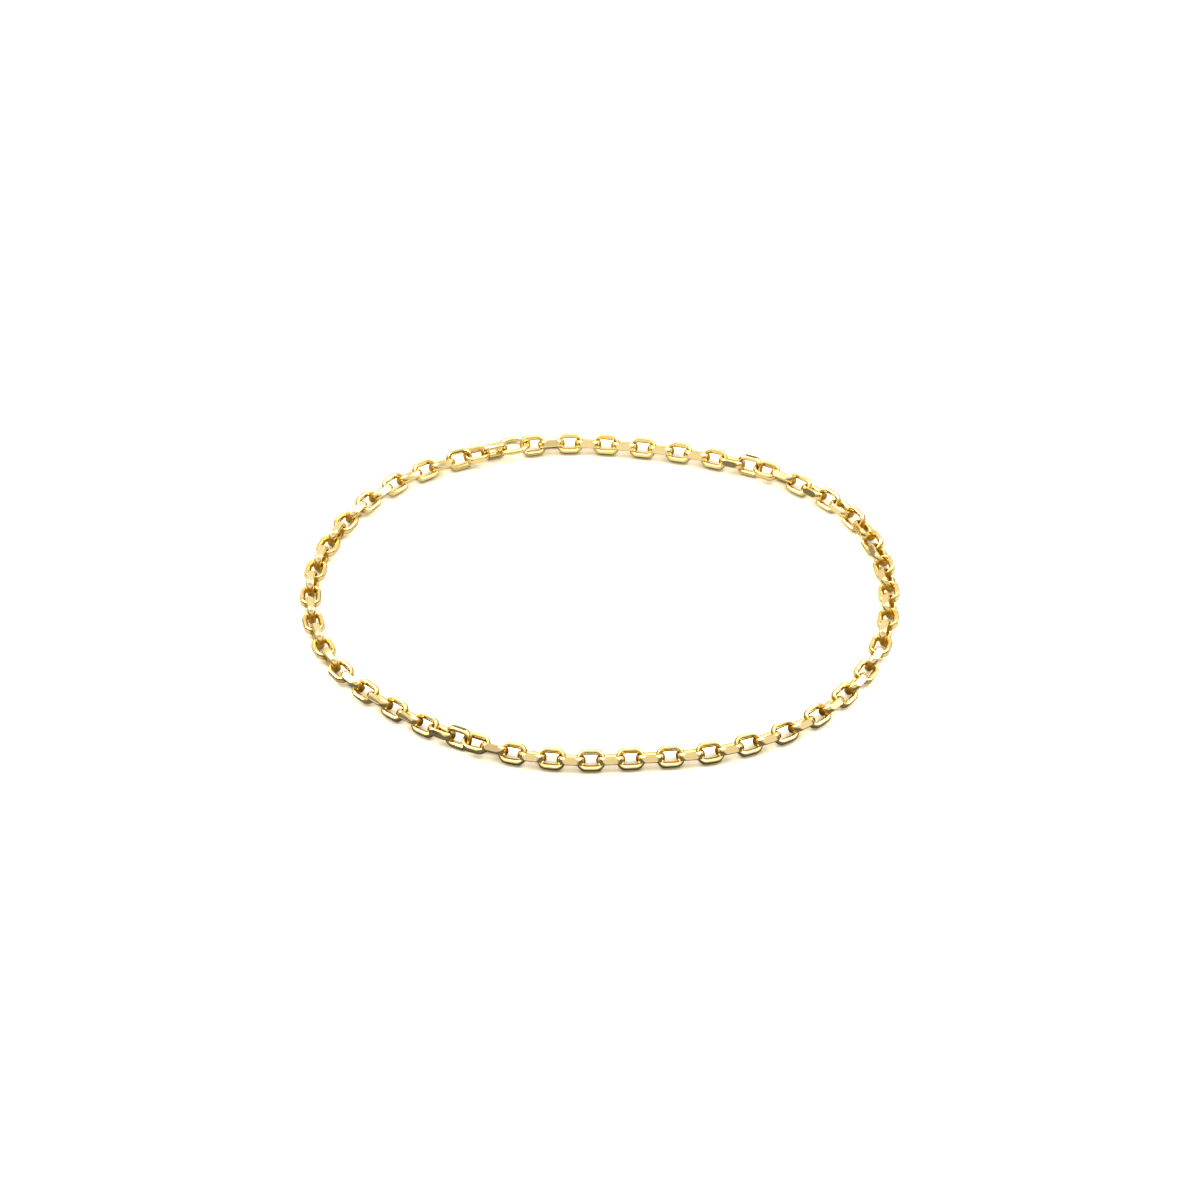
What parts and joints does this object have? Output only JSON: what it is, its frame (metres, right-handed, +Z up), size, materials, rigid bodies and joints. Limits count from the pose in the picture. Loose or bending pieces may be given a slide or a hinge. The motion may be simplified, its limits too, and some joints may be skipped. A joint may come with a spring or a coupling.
{
  "type": "chain ring",
  "caption": "Fine cable-chain finger ring in yellow gold: a soft loop of small links with cut flat sides, closed by a round ring, lying as it rests on a table.",
  "frame": {"origin": "on the surface that the ring lies on, under the middle of the loop", "axes": "+Z up from the surface, X along the loop's longer way, Y along its shorter way with the closing ring towards +Y"},
  "size_m": [0.0204, 0.0164, 0.0007],
  "materials": {
    "cut_gold": "yellow gold, outer sides cut flat and bright, inner sides softly polished",
    "round_gold": "yellow gold, round drawn wire, polished"
  },
  "bodies": {
    "root": {"chain": "cut_gold", "closing_ring": "round_gold"}
  },
  "joints": []
}
